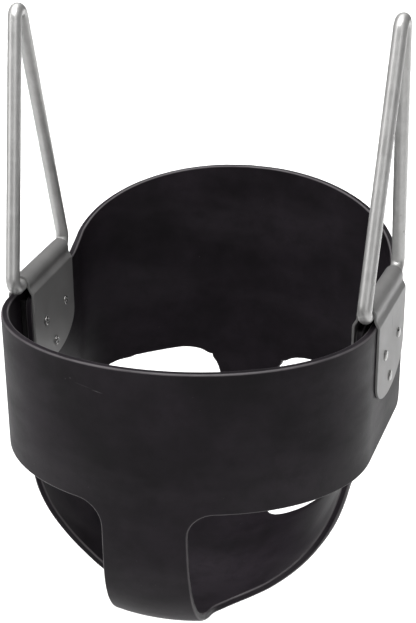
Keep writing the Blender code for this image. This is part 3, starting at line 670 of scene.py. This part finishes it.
def merge(sheets):
    """Joins sheets with their mirror images, making points that coincide one."""
    points, normals, faces = [], [], []
    start = 0
    for p, n, f in sheets:
        p = p.copy()
        p[np.abs(p[:, 0]) < 1e-3, 0] = 0.0
        for sign in (1.0, -1.0):
            points.append(p * (sign, 1.0, 1.0))
            normals.append(n * (sign, 1.0, 1.0))
            faces.append((f if sign > 0 else f[:, ::-1]) + start)
            start += len(p)
    points, normals, faces = np.concatenate(points), np.concatenate(normals), np.concatenate(faces)
    tree = tree_of(points)
    first = np.array([min(hit[1] for hit in tree.find_range(p, WELD)) for p in points])
    summed = np.zeros((len(points), 3))
    np.add.at(summed, first, normals)
    kept = np.unique(first)
    number = np.zeros(len(points), int)
    number[kept] = np.arange(len(kept))
    summed = summed[kept] / np.linalg.norm(summed[kept], axis=1, keepdims=True)
    return points[kept], summed, number[first[faces]]


def boundary_loops(faces):
    """Loops of the sheet's free edges, each as point numbers in face order."""
    edges = {}
    for a, b, c in faces:
        for edge in ((a, b), (b, c), (c, a)):
            edges[(int(edge[0]), int(edge[1]))] = True
    after = {a: b for a, b in edges if (b, a) not in edges}
    loops = []
    while after:
        start = next(iter(after))
        loop = [start]
        step = after.pop(start)
        while step != start:
            loop.append(step)
            step = after.pop(step)
        loops.append(loop)
    return loops


def moulded(points, normals, faces, thickness, edge_r, edge_steps):
    """Closed solid of a sheet, whose rounded edges reach edge_r past the sheet's free edges.

    Returns points, normals, faces and bends, which rise from 0 on the sheet to 1 half way round an edge.
    """
    half = thickness / 2
    count = len(points)
    all_points = [points + normals * half, points - normals * half]
    all_normals = [normals, -normals]
    all_bends = [np.zeros(2 * count)]
    all_faces = [tuple(f) for f in faces] + [tuple(f[::-1] + count) for f in faces]
    turn = np.linspace(0.0, math.pi / 2, edge_steps + 1)[1:]
    profile = [(edge_r * math.sin(t), half - edge_r * (1 - math.cos(t)), t) for t in turn]
    profile += [(out, -height, math.pi - t) for out, height, t in reversed(profile)]
    start = 2 * count
    for loop in boundary_loops(faces):
        loop = np.array(loop)
        here = points[loop]
        tangent = np.roll(here, -1, axis=0) - np.roll(here, 1, axis=0)
        tangent /= np.linalg.norm(tangent, axis=1, keepdims=True)
        outward = np.cross(tangent, normals[loop])
        outward /= np.linalg.norm(outward, axis=1, keepdims=True)
        rows = [loop]
        for out, height, t in profile:
            all_points.append(here + outward * out + normals[loop] * height)
            all_normals.append(outward * math.sin(t) + normals[loop] * math.cos(t))
            all_bends.append(np.full(len(loop), abs(math.sin(2 * t))))
            rows.append(np.arange(start, start + len(loop)))
            start += len(loop)
        rows.append(loop + count)
        for upper, lower in zip(rows, rows[1:]):
            for i in range(len(loop)):
                j = (i + 1) % len(loop)
                all_faces.append((upper[j], upper[i], lower[i], lower[j]))
    return np.concatenate(all_points), np.concatenate(all_normals), all_faces, np.concatenate(all_bends)


# ---------------------------------------------------------------- materials

class Recipe:
    """A material's node tree, with short names for the nodes that every finish here uses."""

    def __init__(self, name, **constants):
        self.material = bpy.data.materials.new(name)
        self.material.use_nodes = True
        self.tree = self.material.node_tree
        self.shader = self.tree.nodes["Principled BSDF"]
        for socket, value in constants.items():
            self.shader.inputs[socket.replace("_", " ")].default_value = value
        self.place = self.tree.nodes.new("ShaderNodeTexCoord").outputs["Object"]

    def link(self, source, target):
        self.tree.links.new(source, target)

    def stretched(self, scale, turn=(0.0, 0.0, 0.0)):
        """Coordinates squeezed along some axes, for marks that run one way."""
        node = self.tree.nodes.new("ShaderNodeMapping")
        node.inputs["Scale"].default_value = scale
        node.inputs["Rotation"].default_value = turn
        self.link(self.place, node.inputs["Vector"])
        return node.outputs["Vector"]

    def noise(self, scale, detail=2.0, rough=0.5, place=None):
        node = self.tree.nodes.new("ShaderNodeTexNoise")
        node.inputs["Scale"].default_value = scale
        node.inputs["Detail"].default_value = detail
        node.inputs["Roughness"].default_value = rough
        self.link(place or self.place, node.inputs["Vector"])
        return node.outputs["Fac"]

    def cells(self, scale):
        """Distance to the nearest of scattered points."""
        node = self.tree.nodes.new("ShaderNodeTexVoronoi")
        node.inputs["Scale"].default_value = scale
        self.link(self.place, node.inputs["Vector"])
        return node.outputs["Distance"]

    def span(self, value, low, high, out_low=0.0, out_high=1.0):
        """Maps low..high to out_low..out_high, held at the ends."""
        node = self.tree.nodes.new("ShaderNodeMapRange")
        limits = {"From Min": low, "From Max": high, "To Min": out_low, "To Max": out_high}
        for socket, number in limits.items():
            node.inputs[socket].default_value = number
        self.link(value, node.inputs["Value"])
        return node.outputs["Result"]

    def maths(self, operation, a, b):
        node = self.tree.nodes.new("ShaderNodeMath")
        node.operation = operation
        for socket, value in zip(node.inputs, (a, b)):
            if isinstance(value, (int, float)):
                socket.default_value = value
            else:
                self.link(value, socket)
        return node.outputs["Value"]

    def blend(self, share, a, b):
        """Colour a where share is 0 and b where it is 1. The Mix node's colour sockets are 6 and 7."""
        node = self.tree.nodes.new("ShaderNodeMix")
        node.data_type = "RGBA"
        self.link(share, node.inputs[0])
        for socket, value in ((node.inputs[6], a), (node.inputs[7], b)):
            if isinstance(value, tuple):
                socket.default_value = (*value, 1.0)
            else:
                self.link(value, socket)
        return node.outputs[2]

    def streak(self, centre, reach, turn):
        """1 well inside a turned ellipsoid with these half lengths, fading to 0 at its surface."""
        node = self.tree.nodes.new("ShaderNodeMapping")
        node.vector_type = "TEXTURE"
        node.inputs["Location"].default_value = centre
        node.inputs["Rotation"].default_value = turn
        node.inputs["Scale"].default_value = reach
        self.link(self.place, node.inputs["Vector"])
        length = self.tree.nodes.new("ShaderNodeVectorMath")
        length.operation = "LENGTH"
        self.link(node.outputs["Vector"], length.inputs[0])
        return self.span(length.outputs["Value"], 1.0, 0.55)

    def edges(self):
        """0 on the sheets, rising to 1 half way round each rounded edge."""
        node = self.tree.nodes.new("ShaderNodeAttribute")
        node.attribute_name = EDGE_NAME
        return node.outputs["Fac"]

    def finished(self, base, rough, bumps):
        """The material with this colour, roughness and stack of (height, strength, distance) bumps."""
        self.link(base, self.shader.inputs["Base Color"])
        self.link(rough, self.shader.inputs["Roughness"])
        normal = None
        for height, strength, distance in bumps:
            node = self.tree.nodes.new("ShaderNodeBump")
            node.inputs["Strength"].default_value = strength
            node.inputs["Distance"].default_value = distance
            self.link(height, node.inputs["Height"])
            if normal:
                self.link(normal, node.inputs["Normal"])
            normal = node.outputs["Normal"]
        self.link(normal, self.shader.inputs["Normal"])
        return self.material


def moulded_rubber():
    """Near-black satin rubber: cloudy bloom, moulded grain, edges lightened by a painted highlight with some
    rubbed wear, dust specks and a scuff in front.
    """
    deep, cloudy, bloom = (0.0018, 0.0008, 0.002), (0.0125, 0.009, 0.013), (0.022, 0.018, 0.0225)
    # the light edge colour is a painted highlight, partly rubbed wear
    mottle, highlight_and_rubbed = (0.002, 0.0012, 0.0022), (0.095, 0.088, 0.093)
    dust, scratch = (0.13, 0.12, 0.12), (0.06, 0.056, 0.059)
    r = Recipe("moulded_rubber", Specular_IOR_Level=0.2)
    clouds = r.noise(14.0, 5.0, 0.62)
    smears = r.noise(5.0, 4.0, 0.6, r.stretched((1.0, 1.0, 3.2), (0.0, 0.5, 0.0)))
    grain = r.noise(1500.0, 2.0)
    ripple = r.noise(170.0, 3.0)
    speck = r.span(r.cells(120.0), 0.06, 0.03)
    speck = r.maths("MULTIPLY", speck, r.span(r.noise(22.0), 0.55, 0.62))
    patchy = r.span(r.noise(45.0, 3.0), 0.3, 0.6, 0.55, 1.0)
    # mask of the painted highlight along the rounded edges, partly rubbed wear, broken up by noise
    edge_highlight_and_wear = r.maths("MULTIPLY", r.span(r.edges(), 0.15, 0.9), patchy)
    scuff = r.streak(SCUFF_PLACE, SCUFF_REACH, SCUFF_TURN)
    for centre, reach, strength in FAINT_SCUFFS:
        faint = r.maths("MULTIPLY", r.streak(centre, reach, SCUFF_TURN), strength)
        scuff = r.maths("ADD", scuff, faint)
    scuff = r.maths("MULTIPLY", scuff, r.span(r.noise(900.0), 0.3, 0.55, 0.35, 1.0))
    base = r.blend(r.span(clouds, 0.33, 0.67), deep, cloudy)
    base = r.blend(r.span(smears, 0.44, 0.64, 0.0, 0.5), base, bloom)
    base = r.blend(r.span(r.noise(70.0, 4.0, 0.7), 0.48, 0.66, 0.0, 0.35), base, mottle)
    # edges lightened: painted highlight, partly rubbed wear
    base = r.blend(edge_highlight_and_wear, base, highlight_and_rubbed)
    base = r.blend(r.maths("MULTIPLY", speck, 0.35), base, dust)
    base = r.blend(scuff, base, scratch)
    rough = r.span(smears, 0.35, 0.65, 0.60, 0.47)
    rough = r.maths("ADD", rough, r.maths("MULTIPLY", r.noise(420.0, 2.0), 0.06))
    rough = r.maths("SUBTRACT", rough, r.maths("MULTIPLY", edge_highlight_and_wear, 0.08))
    return r.finished(base, rough, [(ripple, 0.15, 0.0004), (grain, 0.3, 0.00006), (scuff, 0.3, 0.0001)])


def pressed_rubber():
    """Dull rubber of the spacer pads, a little uneven in tone."""
    dark, light = (0.007, 0.0065, 0.007), (0.016, 0.015, 0.016)
    r = Recipe("pressed_rubber", Specular_IOR_Level=0.15)
    grain = r.noise(900.0, 3.0)
    base = r.blend(r.span(r.noise(60.0, 3.0), 0.35, 0.65), dark, light)
    return r.finished(base, r.span(grain, 0.3, 0.7, 0.55, 0.75), [(grain, 0.5, 0.00015)])


def sheet_steel():
    """Satin zinc-plated sheet: rolled grain, faint clouding and darker handling marks."""
    dark, light = (0.185, 0.182, 0.182), (0.235, 0.232, 0.23)
    streaked, handled = (0.27, 0.267, 0.262), (0.16, 0.16, 0.16)
    r = Recipe("sheet_steel", Metallic=0.35, Anisotropic=0.2, Specular_IOR_Level=0.3)
    rolled = r.noise(14.0, 4.0, 0.6, r.stretched((1.0, 1.0, 26.0)))
    clouds = r.noise(55.0, 4.0, 0.6)
    fine = r.noise(1100.0, 2.0)
    marks = r.span(r.noise(26.0, 3.0, 0.6, r.stretched((1.0, 6.0, 1.0), (0.6, 0.0, 0.0))), 0.66, 0.72)
    base = r.blend(r.span(clouds, 0.3, 0.7), dark, light)
    base = r.blend(r.maths("MULTIPLY", rolled, 0.35), base, streaked)
    base = r.blend(r.maths("MULTIPLY", marks, 0.3), base, handled)
    rough = r.span(clouds, 0.3, 0.7, 0.40, 0.52)
    rough = r.maths("ADD", rough, r.maths("MULTIPLY", marks, 0.08))
    return r.finished(base, rough, [(rolled, 0.05, 0.0003), (fine, 0.15, 0.00004)])


def rod_steel():
    """Zinc-plated round bar: drawn streaks, mottling and small dark nicks."""
    dark, light = (0.48, 0.477, 0.47), (0.61, 0.607, 0.60)
    streaked, nicked = (0.38, 0.38, 0.37), (0.3, 0.29, 0.28)
    r = Recipe("rod_steel", Metallic=0.75, Anisotropic=0.2)
    drawn = r.noise(60.0, 3.0, 0.6, r.stretched((6.0, 6.0, 0.35)))
    clouds = r.noise(85.0, 5.0, 0.65)
    nick = r.span(r.cells(95.0), 0.13, 0.07)
    nick = r.maths("MULTIPLY", nick, r.span(r.noise(25.0), 0.5, 0.58))
    base = r.blend(r.span(clouds, 0.3, 0.7), dark, light)
    base = r.blend(r.maths("MULTIPLY", drawn, 0.3), base, streaked)
    base = r.blend(r.maths("MULTIPLY", nick, 0.5), base, nicked)
    rough = r.span(clouds, 0.3, 0.7, 0.40, 0.50)
    rough = r.maths("ADD", rough, r.maths("MULTIPLY", nick, 0.15))
    fine = r.noise(1300.0)
    return r.finished(base, rough, [(nick, 0.35, 0.0002), (clouds, 0.08, 0.0003), (fine, 0.12, 0.00004)])


def rivet_steel():
    """Bright plated rivet, a little dulled and pitted by the setting tool."""
    dark, light, pitted = (0.3, 0.297, 0.29), (0.44, 0.437, 0.43), (0.25, 0.25, 0.25)
    r = Recipe("rivet_steel", Metallic=0.95)
    clouds = r.noise(260.0, 4.0, 0.6)
    pits = r.span(r.cells(900.0), 0.2, 0.05)
    base = r.blend(r.span(clouds, 0.3, 0.7), dark, light)
    base = r.blend(r.maths("MULTIPLY", pits, 0.4), base, pitted)
    rough = r.span(clouds, 0.3, 0.7, 0.2, 0.36)
    return r.finished(base, rough, [(pits, 0.3, 0.0001), (clouds, 0.1, 0.0002)])


def studio_floor():
    white, dark, light = (1.0, 1.0, 1.0, 1.0), (0.94, 0.94, 0.94), (0.96, 0.96, 0.96)
    r = Recipe("studio_floor", Roughness=0.9, Emission_Color=white, Emission_Strength=0.05)
    base = r.blend(r.noise(3.0), dark, light)
    r.link(base, r.shader.inputs["Base Color"])
    return r.material


# ---------------------------------------------------------------- the pieces

def hole_rings(edge_r):
    """Outlines of the rivet holes, (along the bar, up), wider by the rounded edge that fills them in."""
    angle = np.linspace(0.0, 2 * math.pi, 20, endpoint=False)
    circle = (SHANK_R + GAP + edge_r) * np.stack([np.cos(angle), np.sin(angle)], axis=1)
    return [circle + place for place in RIVETS]


def band_holes():
    """Rivet holes in the front sheet's drawing."""
    rings = []
    for ring in hole_rings(EDGE_R):
        y = ring[:, 0] * math.cos(TOE) - LAYER * math.sin(TOE)
        along = np.interp(y, BAND_PLAN[:, 1], BAND_RUN)
        rings.append(np.stack([along, BAND_TOP - ring[:, 1]], axis=1))
    return rings


def tab_holes():
    """Rivet holes in the rear sheet's drawing."""
    rings = []
    for ring in hole_rings(EDGE_R):
        y = ring[:, 0] * math.cos(TOE) + LAYER * math.sin(TOE)
        spots = np.array([on_wall(a, z) for a, z in zip(y, ring[:, 1])])
        rings.append(rear_flat(spots[:, 0], spots[:, 1]))
    return rings


def make_bucket(rubber):
    centre = np.array([0.0, 0.0, WALL_FOOT + 40.0])     # a place inside, which the sheets face away from
    front = mid_sheet(front_outline(RIM_CELL), band_holes(), front_grid(CELL), front_surface, CELL, centre)
    holes = [rear_hole(RIM_CELL)] + tab_holes()
    rear = mid_sheet(rear_outline(RIM_CELL), holes, rear_grid(CELL), rear_surface, CELL, centre)
    shell = moulded(*merge([front, rear]), RUBBER, EDGE_R, edge_steps=4)
    add_piece("bucket_rubber", "seat", "bucket_moulding", rubber, *shell)


def fold_table():
    """From the ridge down one leg of a hinge plate: run along the sheet, outward place and height."""
    reach = GRIP + PLATE / 2
    flare = math.radians(FLARE)
    ridge = arc((0.0, 0.0), RIDGE_R, 90.0, -NECK, 400)
    middle = ridge[-1] * (1.0 + NECK_R / RIDGE_R)
    neck = arc(middle, NECK_R, 180.0 - NECK, 180.0 + FLARE, 200)[1:]
    length = (reach - CREASE_R * (1.0 - math.cos(flare)) - neck[-1, 0]) / math.sin(flare)
    middle = (reach - CREASE_R, neck[-1, 1] - length * math.cos(flare) - CREASE_R * math.sin(flare))
    crease = arc(middle, CREASE_R, FLARE, 0.0, 100)
    line = np.concatenate([ridge, neck, crease, [(reach, PLATE_LOW)]])
    return run_length(line), line[:, 0], line[:, 1]


FOLD_RUN, FOLD_OUT, FOLD_UP = fold_table()


def plate_outline(half, top, low, arc_height):
    """Straight sides and an elliptic lower end, from the top left round to the top right."""
    angle = np.linspace(math.pi, 2 * math.pi, 200)
    curve = np.stack([half * np.cos(angle), low + arc_height + arc_height * np.sin(angle)], axis=1)
    return np.concatenate([[(-half, top)], curve, [(half, top)]])


def as_drawn(outline, spacing):
    """The outline with points evenly spaced, less its last point."""
    return evenly(outline, lambda flat: flat, spacing)[:-1]


def make_plate(side, word, steel):
    """The folded strip's drawing has the bar's direction along x and the run over the fold along y."""
    def folded(flat):
        run = np.abs(flat[:, 1])
        out = np.sign(flat[:, 1]) * np.interp(run, FOLD_RUN, FOLD_OUT)
        return from_bracket(np.stack([out, flat[:, 0], np.interp(run, FOLD_RUN, FOLD_UP)], axis=1), side)

    end = FOLD_RUN[-1]
    leg = plate_outline(PLATE_HALF - PLATE_EDGE, PLATE_LOW + end, PLATE_LOW + PLATE_EDGE, PLATE_ARC)
    leg[:, 1] = end + PLATE_LOW - leg[:, 1]
    outline = np.concatenate([as_drawn(leg, PLATE_CELL), as_drawn(-leg, PLATE_CELL)])
    holes = []
    for ring in hole_rings(PLATE_EDGE):
        for sign in (1.0, -1.0):
            holes.append(np.stack([ring[:, 0], sign * (end + PLATE_LOW - ring[:, 1])], axis=1))
    centre = from_bracket([(0.0, 0.0, -30.0)], side)[0]
    sheet = mid_sheet(outline, holes, flat_grid(outline, PLATE_CELL), folded, PLATE_CELL, centre)
    points, normals, faces, _ = moulded(*sheet, PLATE, PLATE_EDGE, edge_steps=3)
    add_piece(f"hinge_{word}_steel", "seat", f"hinge_plate_{word}", steel, points, normals, faces)


def make_pad(side, word, rubber):
    """The pad's drawing has the bar's direction along x and its height along y."""
    def upright(flat):
        return from_bracket(np.stack([np.zeros(len(flat)), flat[:, 0], flat[:, 1]], axis=1), side)

    outline = plate_outline(PLATE_HALF - PAD_INSET - PAD_EDGE, TAB_TOP - 1.5 - PAD_EDGE,
                            PLATE_LOW + 3.0 + PAD_EDGE, PLATE_ARC - 2.0)
    outline = as_drawn(np.concatenate([outline, outline[:1]]), PAD_CELL)
    inward = from_bracket([(-100.0, 0.0, -40.0)], side)[0]
    grid = flat_grid(outline, PAD_CELL)
    sheet = mid_sheet(outline, hole_rings(PAD_EDGE), grid, upright, PAD_CELL, inward)
    points, normals, faces, _ = moulded(*sheet, PAD, PAD_EDGE, edge_steps=3)
    add_piece(f"pad_{word}_rubber", "seat", f"spacer_pad_{word}", rubber, points, normals, faces)


def round_ring(out, radius, place, side):
    angle = np.linspace(0.0, 2 * math.pi, RIVET_SIDES, endpoint=False)
    along = place[0] + radius * np.cos(angle)
    up = place[1] + radius * np.sin(angle)
    return from_bracket(np.stack([np.full(RIVET_SIDES, out), along, up], axis=1), side)


def rivet_profile():
    """(outward, radius) from the dome's tip to the bottom of the tail's bore."""
    seat = GRIP + PLATE + GAP
    angle = np.radians(np.linspace(8.0, 84.0, 10))
    profile = [(seat + HEAD_H * math.cos(a), HEAD_R * math.sin(a)) for a in angle]
    profile += [(seat + 0.08, HEAD_R), (seat, HEAD_R - 0.15), (seat, SHANK_R), (-seat, SHANK_R)]
    profile += [(-seat, TAIL_R - 0.15), (-seat - 0.15, TAIL_R)]
    middle = (TAIL_R + TAIL_BORE) / 2
    swell = (TAIL_R - TAIL_BORE) / 2
    for a in np.radians(np.linspace(0.0, 180.0, 13)):
        profile.append((-seat - 0.45 * TAIL_H - 0.55 * TAIL_H * math.sin(a), middle + swell * math.cos(a)))
    profile += [(-seat + 1.1, TAIL_BORE), (-seat + 1.5, 0.6 * TAIL_BORE)]
    return profile


def make_rivet(side, word, number, place, steel):
    rings = [round_ring(out, radius, place, side) for out, radius in rivet_profile()]
    points, faces = loft(rings)
    faces = facing([f[::-1] for f in faces], side)
    add_piece(f"rivet_{word}_{number}_steel", "seat", f"rivet_{word}_{number}", steel, points, None, faces)


def rounded_path(corners, radii, steps):
    """Closed path in a plane with each corner rounded."""
    out = []
    count = len(corners)
    for i in range(count):
        here = np.array(corners[i])
        before = np.array(corners[i - 1]) - here
        after = np.array(corners[(i + 1) % count]) - here
        before /= np.linalg.norm(before)
        after /= np.linalg.norm(after)
        opening = math.acos(float(before @ after))
        to_centre = (before + after) / np.linalg.norm(before + after)
        centre = here + to_centre * radii[i] / math.sin(opening / 2)
        start = here + before * radii[i] / math.tan(opening / 2) - centre
        sweep = math.pi - opening
        if start[0] * before[1] - start[1] * before[0] > 0:
            sweep = -sweep
        for t in np.linspace(0.0, 1.0, steps[i] + 1):
            c, s = math.cos(sweep * t), math.sin(sweep * t)
            out.append(centre + (c * start[0] - s * start[1], s * start[0] + c * start[1]))
    return np.array(out)


def make_hanger(side, word, steel):
    path = rounded_path(
        [(BAR_HALF, 0.0), (0.0, HANGER_H), (-BAR_HALF, 0.0)],
        [CORNER_R, EYE_R, CORNER_R], [16, 24, 16])
    path = as_drawn(np.concatenate([path, path[:1]]), ROD_CELL)
    tangent = np.roll(path, -1, axis=0) - np.roll(path, 1, axis=0)
    tangent /= np.linalg.norm(tangent, axis=1, keepdims=True)
    angle = np.linspace(0.0, 2 * math.pi, ROD_SIDES, endpoint=False)
    rings = []
    for (y, z), (ty, tz) in zip(path, tangent):
        across = ROD_R * np.cos(angle)
        out = ROD_R * np.sin(angle)
        along = y - tz * across + side * SLIDE
        up = z + ty * across
        leaned_out = out * math.cos(LEAN) + up * math.sin(LEAN)
        leaned_up = up * math.cos(LEAN) - out * math.sin(LEAN)
        rings.append(from_bracket(np.stack([leaned_out, along, leaned_up], axis=1), side))
    points, faces = loft(rings, closed=True)
    faces = facing(faces, side)
    add_piece(f"rod_{word}_steel", f"{word}_hanger", f"hanger_{word}", steel, points, None, faces)


# ---------------------------------------------------------------- studio

def softbox(name, place, aim, size, power, spread=math.pi):
    """A rectangular area light at a place, turned to an aim."""
    lamp = bpy.data.lights.new(name, "AREA")
    lamp.shape = "RECTANGLE"
    lamp.size, lamp.size_y = size
    lamp.energy = power
    lamp.spread = spread
    made = put(name, lamp)
    made.location = place
    made.rotation_euler = (Vector(aim) - Vector(place)).to_track_quat("-Z", "Y").to_euler()


def make_studio():
    scene = bpy.context.scene
    scene.view_settings.view_transform = "Standard"
    world = bpy.data.worlds.new("studio_air")
    world.use_nodes = True
    air = world.node_tree.nodes["Background"].inputs
    air["Color"].default_value = (1.0, 1.0, 1.0, 1.0)
    air["Strength"].default_value = AIR
    scene.world = world
    mesh = bpy.data.meshes.new("studio_floor")
    corners = [(x * FLOOR_REACH, y * FLOOR_REACH, FLOOR_Z) for x, y in ((-1, -1), (1, -1), (1, 1), (-1, 1))]
    mesh.from_pydata(corners, [], [(0, 1, 2, 3)])
    mesh.materials.append(studio_floor())
    put("studio_floor", mesh)
    for name, place, size, power in SOFTBOXES:
        softbox(name, place, LIGHT_AIM, size, power)
    below = (*BACKDROP_PLACE[:2], 0.0)
    softbox("backdrop", BACKDROP_PLACE, below, BACKDROP_SIZE, BACKDROP_POWER, BACKDROP_SPREAD)


def make_camera():
    azimuth, elevation, roll = (math.radians(angle) for angle in VIEW_ANGLES)
    level = math.cos(elevation)
    back = Vector((math.sin(azimuth) * level, -math.cos(azimuth) * level, math.sin(elevation)))
    across = Vector((math.cos(azimuth), math.sin(azimuth), 0.0))
    up = back.cross(across)
    right = across * math.cos(roll) + up * math.sin(roll)
    up = up * math.cos(roll) - across * math.sin(roll)
    turned = Matrix((right, up, back)).transposed().to_4x4()
    lens = bpy.data.cameras.new("camera")
    lens.lens = VIEW_LENS
    lens.sensor_width = VIEW_SENSOR
    camera = put("camera", lens)
    camera.matrix_world = Matrix.Translation(Vector(VIEW_TARGET) + back * VIEW_DISTANCE) @ turned
    bpy.context.scene.camera = camera


make_camera()
make_studio()
rubber, pad_rubber = moulded_rubber(), pressed_rubber()
plate_steel, hanger_steel, fastener_steel = sheet_steel(), rod_steel(), rivet_steel()
make_bucket(rubber)
for side, word in ((1, "right"), (-1, "left")):
    make_plate(side, word, plate_steel)
    make_pad(side, word, pad_rubber)
    make_hanger(side, word, hanger_steel)
    for number, place in enumerate(RIVETS, 1):
        make_rivet(side, word, number, place, fastener_steel)
